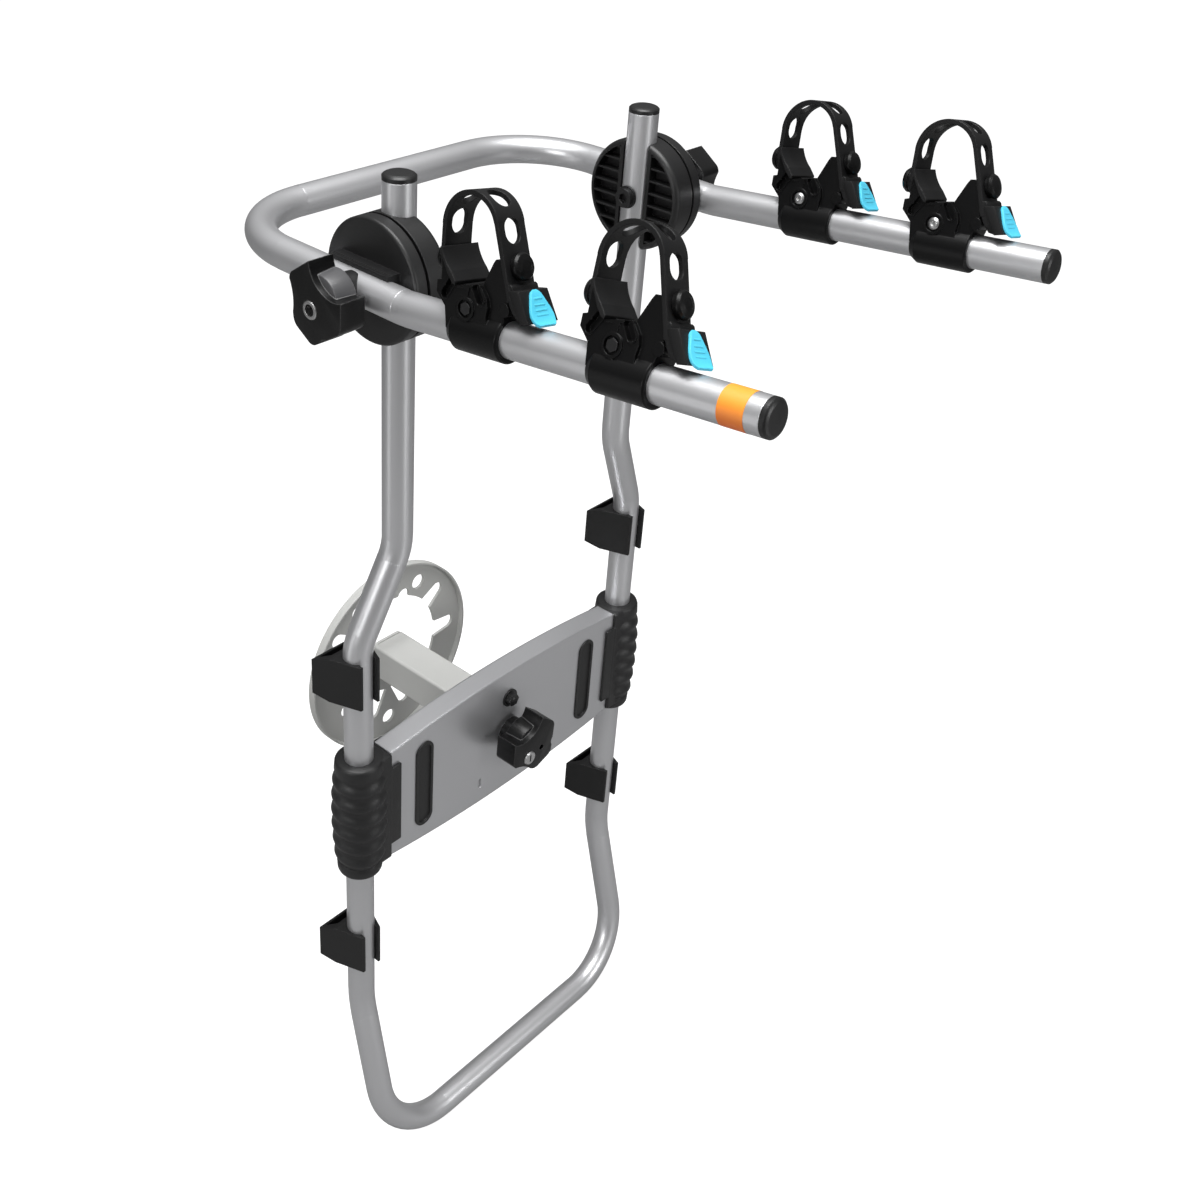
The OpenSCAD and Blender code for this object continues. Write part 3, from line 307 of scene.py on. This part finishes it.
def settle(piece, angle, finish=None):
    """Puts a piece's place into its mesh, smooths its flatter edges and gives it a finish."""
    bpy.ops.object.select_all(action="DESELECT")
    piece.select_set(True)
    bpy.context.view_layer.objects.active = piece
    bpy.ops.object.transform_apply(location=True, rotation=True, scale=True)
    bpy.ops.object.shade_smooth_by_angle(angle=math.radians(angle))
    if finish is not None:
        piece.data.materials.clear()
        piece.data.materials.append(finish.material)


def tapered_sleeve(name, rings, middle):
    """A closed sleeve turned round Z: each ring is a height and a radius."""
    bpy.ops.object.select_all(action="DESELECT")
    height, radius = rings[0]
    bpy.ops.mesh.primitive_circle_add(vertices=96, radius=radius, fill_type="NOTHING",
                                      location=(middle[0], middle[1], height))
    piece = fresh(name)
    bpy.ops.object.transform_apply(location=True, rotation=True, scale=True)
    bpy.ops.object.mode_set(mode="EDIT")
    bpy.ops.mesh.select_all(action="SELECT")
    for next_height, next_radius in rings[1:]:
        rise = (0, 0, next_height - height)
        bpy.ops.mesh.extrude_region_move(TRANSFORM_OT_translate={"value": rise})
        bpy.ops.transform.resize(value=(next_radius / radius, next_radius / radius, 1),
                                 center_override=(middle[0], middle[1], next_height))
        height, radius = next_height, next_radius
    bpy.ops.mesh.select_all(action="SELECT")
    bpy.ops.mesh.remove_doubles(threshold=1e-6)
    bpy.ops.mesh.normals_make_consistent(inside=False)
    bpy.ops.object.mode_set(mode="OBJECT")
    return piece


def slab_piece(name, low, high, bevel):
    """A box between two corners with softened edges."""
    bpy.ops.object.select_all(action="DESELECT")
    middle = [(a + b) / 2 for a, b in zip(low, high)]
    bpy.ops.mesh.primitive_cube_add(size=1, location=middle)
    piece = fresh(name)
    piece.scale = [b - a for a, b in zip(low, high)]
    bpy.ops.object.transform_apply(location=True, rotation=True, scale=True)
    bpy.ops.object.mode_set(mode="EDIT")
    bpy.ops.mesh.select_all(action="SELECT")
    bpy.ops.mesh.bevel(offset=bevel, segments=3, affect="EDGES")
    bpy.ops.object.mode_set(mode="OBJECT")
    return piece


def joined(pieces, name):
    """Joins pieces into the first one."""
    bpy.ops.object.select_all(action="DESELECT")
    for piece in pieces:
        piece.select_set(True)
    bpy.context.view_layer.objects.active = pieces[0]
    bpy.ops.object.join()
    pieces[0].name = name
    return pieces[0]


def on_front(co, middle, front):
    """Whether a vertex lies on the waves' outer skin, on the line that faces a direction."""
    out = Vector((co.x - middle[0], co.y - middle[1], 0))
    on_skin = out.length > sag_radius and abs(co.z) < sag_half
    return on_skin and out.normalized().dot(front) > front_match


for side, hand in (("left", -1), ("right", 1)):
    middle = (hand * mast_x, mast_y)
    rings = [(sleeve_top, hold_radius)] + [(high * MM, radius * MM) for high, radius in collar]
    for step in range(wave_count * wave_steps + 1):
        turn = step / wave_steps
        height = wave_top - turn * wave_pitch
        bulge = 1 - (height / bulge_half) ** 2
        dip = (1 - math.cos(2 * math.pi * turn)) / 2
        rings.append((height, (sleeve_radius + sleeve_bulge * bulge - wave_depth * (1 - dip)) * MM))
    rings += [(high * MM, radius * MM) for high, radius in low_end]
    rings += [(sleeve_low, hold_radius), (sleeve_top, hold_radius)]
    sleeve = tapered_sleeve(f"grip_sleeve_{side}", rings, middle)
    # the waves sag at the outer front, and less and less round from there
    front = Vector((hand * 0.6, -0.8, 0))
    pick(sleeve, lambda co: on_front(co, middle, front))
    bpy.ops.transform.translate(value=(0, 0, -wave_sag), use_proportional_edit=True,
                                proportional_edit_falloff="LINEAR", proportional_size=sag_reach,
                                use_proportional_connected=True)
    bpy.ops.object.mode_set(mode="OBJECT")
    pieces = [sleeve]
    for name, near, far, ahead, behind, half, rounding in grip_slabs:
        inner, outer = sorted((hand * near, hand * far))
        pieces.append(slab_piece(name, (inner, mast_y + ahead, -half),
                                 (outer, mast_y + behind, half), rounding))
    grip = joined(pieces, f"grip_moulding_{side}")
    settle(grip, 40, grip_black)
    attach(grip, "frame")
    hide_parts(f"grip_{side}")


# Wheel disc and bracket: a stamped steel disc with slots for the wheel studs, welded to a
# square tube, both in a pale grey powder coat that is thicker and duller than the silver.
pale_coat = Finish("pale_grey_powder_coat", IOR=1.5)
peel = pale_coat.noise(420, 3.0)
cloud = pale_coat.noise(14, 3.0)
rounded = pale_coat.soft_edges(0.0008)
pale_coat.set("Base Color", pale_coat.mix(cloud, (0.46, 0.463, 0.448, 1), (0.54, 0.543, 0.528, 1)))
pale_coat.set("Roughness", 0.42 + peel * 0.12)
pale_coat.set("Normal", pale_coat.bump(peel, 0.2, 0.0004, rounded))
pale_coat.coat_node("wheel_disc", "bracket_tube")


# Plate knob and arm knobs: three-lobed hand knobs in glass-filled nylon, which clamp the
# plate and the arms. A shallow thumb scoop shows the barrel behind the face. The plate
# knob carries a small key lock, and the arm knobs a ring for one.
# the knobs' edges carry bright painted highlight lines, far lighter than their black faces
knob_black = black_moulding("knob_nylon", dark=0.003, rough=0.22, grain=1300, edge=0.0011,
                            highlight_lift=60)
knob_black.set("Specular IOR Level", 0.3)
# the arm knobs' black nylon barrels are painted mid grey as a painted highlight; the plate knob's
# stays black
barrel_highlight_grey = black_moulding("knob_barrel_painted_highlight", dark=0.06, rough=0.28, grain=1300,
                             edge=0.0008, highlight_lift=6)
knob_black.coat_node("centre_knob", "hub_knob_left", "hub_knob_right")
hub_place = (193.5 * MM, -161 * MM, 496 * MM)
plate_place = (0, -171 * MM, 0)
knob_blank, knob_depth = 90 * MM, 22.5 * MM
knob_corner, corner_steps = 4.2 * MM, 7
# the lobes' flat sides: angle from the scoop, and distance from the bolt in millimetres
knob_flats = ((65, 28.5), (126.4, 25.4), (177.7, 29.6), (-117.8, 25.4), (-62, 26.6))
# the thumb scoop, the notch and the hollow side: angle, distance and radius, likewise
knob_hollows = ((0, 37.5, 24.7), (-131, 31.8, 7), (124, 63.5, 40))
barrel_depth, barrel_sink, barrel_taper = 17.2 * MM, 14.1 * MM, 1.5 * MM
neck_radius, neck_foot, insert_hole = 14.5 * MM, 0.2 * MM, 8.55 * MM


def round_bar(radius, low, high, at=(0, 0), sides=96):
    """A bar along Z, whose ends lie at two heights."""
    bpy.ops.object.select_all(action="DESELECT")
    bpy.ops.mesh.primitive_cylinder_add(vertices=sides, radius=radius, depth=high - low,
                                        location=(at[0], at[1], (low + high) / 2))
    piece = fresh("bar")
    bpy.ops.object.transform_apply(location=True, rotation=True, scale=True)
    return piece


def cut_away(piece, tool):
    """Cuts a tool out of a piece and removes the tool."""
    bpy.context.view_layer.objects.active = piece
    change = piece.modifiers.new("cut", "BOOLEAN")
    change.operation = "DIFFERENCE"
    change.solver = "EXACT"
    change.object = tool
    bpy.ops.object.modifier_apply(modifier=change.name)
    bpy.data.objects.remove(tool)


def round_off(piece, width, segments=3):
    """Rounds a piece's sharp edges."""
    bpy.context.view_layer.objects.active = piece
    change = piece.modifiers.new("round", "BEVEL")
    change.limit_method = "ANGLE"
    change.angle_limit = math.radians(32)
    change.width = width
    change.segments = segments
    bpy.ops.object.modifier_apply(modifier=change.name)


def polar(angle, away):
    """The point at an angle in degrees and a distance."""
    return (away * math.cos(math.radians(angle)), away * math.sin(math.radians(angle)))


def hand_knob(name, face, scoop, shift, girth, barrel_finish, bore, holes):
    """A knob on +Z, whose lobes are cut from a cube.

    It takes the face's height, the scoop's angle, the lobes' shift off the bolt, the
    barrel's radius and finish, the bore's end, and each hole's radius, depth and place.
    """
    low = face - knob_depth
    bpy.ops.object.select_all(action="DESELECT")
    bpy.ops.mesh.primitive_cube_add(size=knob_blank, location=(0, 0, face - knob_blank / 2))
    lobes = fresh(name)
    bpy.ops.object.transform_apply(location=True, rotation=True, scale=True)
    bpy.ops.object.mode_set(mode="EDIT")
    cuts = [((0, 0, low), (0, 0, -1))]
    for angle, away in knob_flats:
        place = polar(scoop + angle, away * MM)
        cuts.append(((place[0] + shift[0], place[1] + shift[1], 0),
                     (*polar(scoop + angle, 1), 0)))
    for place, away in cuts:
        bpy.ops.mesh.select_all(action="SELECT")
        bpy.ops.mesh.bisect(plane_co=place, plane_no=away, use_fill=True, clear_outer=True)
    bpy.ops.mesh.select_mode(type="EDGE")
    bpy.ops.mesh.select_all(action="DESELECT")
    bpy.ops.object.mode_set(mode="OBJECT")
    # round the upright edges before the scoop and the notch are cut
    for edge in lobes.data.edges:
        first, last = (lobes.data.vertices[i].co for i in edge.vertices)
        edge.select = abs(first.z - last.z) > 10 * MM
    bpy.ops.object.mode_set(mode="EDIT")
    bpy.ops.mesh.bevel(offset=knob_corner, segments=corner_steps, affect="EDGES")
    bpy.ops.object.mode_set(mode="OBJECT")
    for angle, away, radius in knob_hollows:
        place = polar(scoop + angle, away * MM)
        hollow = round_bar(radius * MM, low - 5 * MM, face + 5 * MM,
                           (place[0] + shift[0], place[1] + shift[1]))
        cut_away(lobes, hollow)
    round_off(lobes, 1.2 * MM)
    bpy.ops.object.select_all(action="DESELECT")
    bpy.ops.mesh.primitive_cone_add(vertices=96, radius1=girth + barrel_taper, radius2=girth,
                                    depth=barrel_depth, location=(0, 0, face - barrel_sink))
    barrel = fresh("barrel")
    bpy.ops.object.transform_apply(location=True, rotation=True, scale=True)
    round_off(barrel, 0.7 * MM)
    neck = round_bar(neck_radius, neck_foot, low + 2 * MM)
    drills = [(insert_hole, -5 * MM, bore, (0, 0))]
    drills += [(radius, face - depth, face + 5 * MM, at) for radius, depth, at in holes]
    for drill in drills:
        for piece in (lobes, barrel, neck):
            cut_away(piece, round_bar(*drill, sides=48))
    for piece, finish in ((lobes, knob_black), (barrel, barrel_finish), (neck, knob_black)):
        piece.data.materials.clear()
        piece.data.materials.append(finish.material)
    return joined([lobes, barrel, neck], name)


def stand(piece, right, up, place):
    """Places a piece so that its X, Y and Z point right, up and outward."""
    right, up = Vector(right), Vector(up)
    turned = Matrix((right, up, right.cross(up))).transposed().to_4x4()
    piece.matrix_world = Matrix.Translation(place) @ turned
    settle(piece, 30)


for side, hand in (("left", -1), ("right", 1)):
    lock_hole = (7.2 * MM, 4.05 * MM, (hand * 5 * MM, -8.6 * MM))
    knob = hand_knob(f"arm_knob_{side}", face=24.5 * MM, scoop=60, shift=(0.6 * MM, -3 * MM),
                     girth=17.5 * MM, barrel_finish=barrel_highlight_grey, bore=19.55 * MM,
                     holes=[lock_hole])
    stand(knob, (0, hand, 0), (0, 0, 1), (hand * hub_place[0], *hub_place[1:]))
    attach(knob, f"knob_{side}")
    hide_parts(f"hub_knob_{side}")
lock_hole = (7.2 * MM, 12.05 * MM, (-7.7 * MM, -9.4 * MM))
small_hole = (3 * MM, 5 * MM, (8.7 * MM, -6 * MM))
knob = hand_knob("plate_hand_knob", face=34 * MM, scoop=112.7, shift=(-0.6 * MM, 3 * MM),
                 girth=20 * MM, barrel_finish=knob_black, bore=20.05 * MM,
                 holes=[lock_hole, small_hole])
stand(knob, (1, 0, 0), (0, 0, 1), plate_place)
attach(knob, "plate_knob")
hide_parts("centre_knob")


# Tyre pads: black moulded wedges that clip round the uprights and steady the rack
# against the tyre.
pad_black = black_moulding("pad_plastic", dark=0.006, rough=0.32, grain=1200, edge=0.0009)
pad_black.coat_node("tyre_pad_upper_left", "tyre_pad_upper_right", "tyre_pad_lower_left",
                    "tyre_pad_lower_right")


# Hubs: two toothed discs on each side, in black glass-filled nylon. The inner one holds
# the mast and the outer one turns with the arm; the bolt and the knob clamp them.
hub_black = black_moulding("hub_nylon", dark=0.006, rough=0.34, grain=1100, edge=0.001)
hub_black.coat_node("hub_fixed_left", "hub_fixed_right", "hub_turn_left", "hub_turn_right",
                    "hub_washers")


# Cradles: black mouldings clamped round the arms, each with a rubber saddle for the
# bike's tube, a rubber strap with long holes, and a bright blue pull tab.
cradle_black = black_moulding("cradle_plastic", dark=0.003, rough=0.22, grain=1200, edge=0.0007)
saddle_rubber = black_moulding("saddle_rubber", dark=0.007, rough=0.42, grain=900, edge=0.0014)
strap_rubber = black_moulding("strap_rubber", dark=0.006, rough=0.38, grain=800, edge=0.0012)
tab_blue = Finish("blue_tab_plastic", IOR=1.5)
skin = tab_blue.noise(900, 3.0)
rounded = tab_blue.soft_edges(0.0007)
tab_blue.set("Base Color", tab_blue.mix(skin, (0.055, 0.5, 0.7, 1), (0.1, 0.58, 0.78, 1)))
tab_blue.set("Roughness", 0.34 + skin * 0.12)
tab_blue.set("Normal", tab_blue.bump(skin, 0.15, 0.0002, rounded))
for finish, shine in ((cradle_black, 0.22), (saddle_rubber, 0.25), (strap_rubber, 0.25),
                      (pad_black, 0.35)):
    finish.set("Specular IOR Level", shine)
for side in ("left", "right"):
    for end in ("rear", "front"):
        cradle_black.coat_node(f"cradle_{side}_{end}")
        saddle_rubber.coat_node(f"saddle_{side}_{end}")
        strap_rubber.coat_node(f"strap_{side}_{end}")
        tab_blue.coat_node(f"tab_{side}_{end}")
        # the left cradles' steel screws take the black finish as painted shade of their recesses;
        # the right ones stay bright
        (black_bolt_and_screw_shade if side == "left" else bright_steel).coat_node(f"screw_{side}_{end}")


# Pull tabs: the strap's end thickens into a broad block that kicks outward, and a ribbed
# teardrop tab with a lip lies on it. One is modelled flat, its X across the strap, -Y
# down the strap's front leg and Z outward, and copied to the four cradles.
leg_lean = math.radians(71)
# the block, in millimetres: half width, way down from the arch to its ends, and heights
block_half, block_near, block_far, block_floor, block_roof = 14, 43, 66, 4, 12
block_split, leg_split = 8 * MM, -55 * MM
# the block's outer face: its height over the leg at some way down, and its slope
face_height, face_down, face_slope = 12.2, 44, 0.2
# the tab's rows: way down from the arch, half width and lift over the block, in millimetres
tab_thick = 2
tab_rows = ((45.4, 1.8, 1), (46.2, 3.6, 1.3), (47.6, 5, 1.5), (50.5, 6.3, 1.6), (54.5, 8.2, 1.6),
            (58.5, 9.9, 1.6), (62, 10.6, 1.7), (65.2, 10.2, 2.1), (67.6, 9.2, 3), (69.2, 7.4, 4.2))
# the ribs: way down from the arch and half length; their radius and their axis over the block
tab_ribs = ((50.5, 3.6), (54.6, 4.8), (58, 5.4), (61.2, 5.4))
rib_radius, rib_lift = 0.75, 1.15
# the arch's axis, seen from the middle of a cradle's clamp: along the arm and away from it
arch_along, arch_away = -9.13, 74
# each cradle: name, middle of its clamp in millimetres, and tilt round the arm in degrees
cradles = (("left_rear", (-177.5, -288.62, 502.74), 9),
           ("left_front", (-177.5, -408.05, 514.45), 20),
           ("right_rear", (177.5, -311.51, 504.98), 12),
           ("right_front", (177.5, -428.95, 516.5), 12))


def on_block(down):
    """Height of the block's outer face over the leg, some way down from the arch."""
    return (face_height + (down - face_down) * face_slope) * MM


block = slab_piece("strap_block", (-block_half * MM, -block_far * MM, block_floor * MM),
                   (block_half * MM, -block_near * MM, block_roof * MM), 0.01 * MM)
# the far end kicks outward, and the near end slopes: which edge moves, and how far
for above, far, move in ((True, True, (0, 0, on_block(block_far) - block_roof * MM)),
                         (False, True, (0, 0.8 * MM, 5.4 * MM)),
                         (True, False, (0, -1.5 * MM, 0))):
    pick(block, lambda co: (co.z > block_split) == above and (co.y < leg_split) == far)
    bpy.ops.transform.translate(value=move)
bpy.ops.object.mode_set(mode="OBJECT")
round_off(block, 2.4 * MM, 4)

bpy.ops.object.select_all(action="DESELECT")
bpy.ops.mesh.primitive_grid_add(x_subdivisions=8, y_subdivisions=9, size=2)
tab = fresh("strap_tab")
rows = sorted({round(vertex.co.y, 5) for vertex in tab.data.vertices}, reverse=True)
for row, (down, half, lift) in zip(rows, tab_rows):
    pick(tab, lambda co: abs(co.y - row) < 0.001)
    bpy.ops.transform.resize(value=(half * MM, 1, 1), center_override=(0, row, 0))
    rise = on_block(down) + (lift - tab_thick) * MM
    bpy.ops.transform.translate(value=(0, -down * MM - row, rise))
    bpy.ops.object.mode_set(mode="OBJECT")
change = tab.modifiers.new("thick", "SOLIDIFY")
change.thickness = tab_thick * MM
change.offset = 1
bpy.ops.object.modifier_apply(modifier=change.name)
round_off(tab, 0.7 * MM)
ribs = []
for down, half in tab_ribs:
    rib = round_bar(rib_radius * MM, -half * MM, half * MM, sides=16)
    rib.rotation_euler = (0, math.radians(90), 0)
    rib.location = (0, -down * MM, on_block(down) + rib_lift * MM)
    bpy.ops.object.transform_apply(location=True, rotation=True, scale=True)
    ribs.append(rib)
tab = joined([tab] + ribs, "strap_tab")
settle(tab, 40, tab_blue)
settle(block, 40, strap_rubber)
for name, place, tilt in cradles:
    turn = math.radians(tilt)
    away = Vector((0, math.sin(arm_rise), math.cos(arm_rise)))
    side_way = Vector((math.cos(turn), 0, 0)) - away * math.sin(turn)
    away = Vector((math.sin(turn), 0, 0)) + away * math.cos(turn)
    along = Vector((0, math.cos(arm_rise), -math.sin(arm_rise)))
    arch = Vector(place) * MM + along * arch_along * MM + away * arch_away * MM
    up_leg = along * math.cos(leg_lean) + away * math.sin(leg_lean)
    out_leg = away * math.cos(leg_lean) - along * math.sin(leg_lean)
    turned = Matrix((side_way, up_leg, out_leg)).transposed().to_4x4()
    for original, kind in ((block, "strap_block"), (tab, "pull_tab")):
        copy = original.copy()
        copy.data = original.data.copy()
        copy.name = f"{kind}_{name}"
        bpy.context.scene.collection.objects.link(copy)
        copy.matrix_world = Matrix.Translation(arch) @ turned
        settle(copy, 40)
        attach(copy, f"cradle_{name}")
        if kind == "pull_tab":
            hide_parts(f"tab_{name}")
for original in (block, tab):
    bpy.data.objects.remove(original)


# Studio: a plain white floor under the foot loop, a white surround, a large soft lamp
# above and smaller ones at the sides, and a camera at the photograph's viewpoint.
floor_size, floor_grey, floor_glow = 40, 0.3, 0.94
bpy.ops.object.select_all(action="DESELECT")
bpy.ops.mesh.primitive_plane_add(size=floor_size, location=(0, 0, cad_box[0][2]))
floor = bpy.context.object
floor.name = "studio_floor"
ground = Finish("white_floor", Roughness=0.9, Specular_IOR_Level=0.1)
ground.set("Base Color", (floor_grey, floor_grey, floor_grey, 1))
ground.set("Emission Color", ground.add("ShaderNodeLightPath", out="Is Camera Ray"))
ground.set("Emission Strength", floor_glow)
floor.data.materials.append(ground.material)

# the surround: its light rises from the horizon upward, and the camera sees it plain white
horizon_light, high_light, high_from = 0.06, 0.5, 0.9
world = bpy.data.worlds.new("white_studio")
bpy.context.scene.world = world
world.use_nodes = True
sky = world.node_tree
fill = sky.nodes["Background"]
toward = sky.nodes.new("ShaderNodeTexCoord")
parts = sky.nodes.new("ShaderNodeSeparateXYZ")
sky.links.new(toward.outputs["Generated"], parts.inputs[0])
dome = sky.nodes.new("ShaderNodeMapRange")
sky.links.new(parts.outputs["Z"], dome.inputs["Value"])
dome.inputs["From Max"].default_value = high_from
dome.inputs["To Min"].default_value = horizon_light
dome.inputs["To Max"].default_value = high_light
path = sky.nodes.new("ShaderNodeLightPath")
strength = sky.nodes.new("ShaderNodeMath")
strength.operation = "MAXIMUM"
sky.links.new(path.outputs["Is Camera Ray"], strength.inputs[0])
sky.links.new(dome.outputs[0], strength.inputs[1])
sky.links.new(strength.outputs[0], fill.inputs["Strength"])
fill.inputs["Color"].default_value = (1, 1, 1, 1)

# the lamps: name, place and size in metres, and power in watts; all face the rack's middle
middle = Vector((0, -0.2, 0.1))
for name, place, width, height, power in (
    ("top_lamp", (-0.3, -0.3, 2.3), 1.4, 1.4, 62),
    ("left_lamp", (-2.3, -0.6, 0.9), 0.8, 0.8, 15),
    ("front_lamp", (0.5, -2.4, 0.8), 0.7, 0.7, 12),
    ("left_strip", (-1.28, 0.24, 0.05), 0.3, 1.0, 1.1),
    ("front_strip", (0.1, -1.33, 0.05), 0.3, 1.0, 1.1),
):
    lamp = bpy.data.lights.new(name, "AREA")
    lamp.shape = "RECTANGLE"
    lamp.size = width
    lamp.size_y = height
    lamp.energy = power
    holder = bpy.data.objects.new(name, lamp)
    bpy.context.scene.collection.objects.link(holder)
    holder.location = place
    holder.rotation_euler = (middle - Vector(place)).to_track_quat("-Z", "Y").to_euler()

# the camera, fitted to the photograph: lens, shift in shares of the picture, turn and place
picture = 1200
azimuth, elevation, roll = (math.radians(angle) for angle in (-48.91, 30.30, 3.11))
camera_place = (-0.8263, -0.8895, 0.8939)
view = bpy.data.cameras.new("photo_view")
view.sensor_width = 36
view.lens = 43.93
view.shift_x = 80 / picture
view.shift_y = -100 / picture
camera = bpy.data.objects.new("photo_view", view)
bpy.context.scene.collection.objects.link(camera)
back = Vector((math.sin(azimuth) * math.cos(elevation),
               -math.cos(azimuth) * math.cos(elevation),
               math.sin(elevation)))
level = Vector((math.cos(azimuth), math.sin(azimuth), 0))
upward = back.cross(level)
across = level * math.cos(roll) + upward * math.sin(roll)
upright = upward * math.cos(roll) - level * math.sin(roll)
camera.matrix_world = Matrix((across, upright, back)).transposed().to_4x4()
camera.location = camera_place
bpy.context.scene.camera = camera
bpy.context.scene.view_settings.view_transform = "Standard"
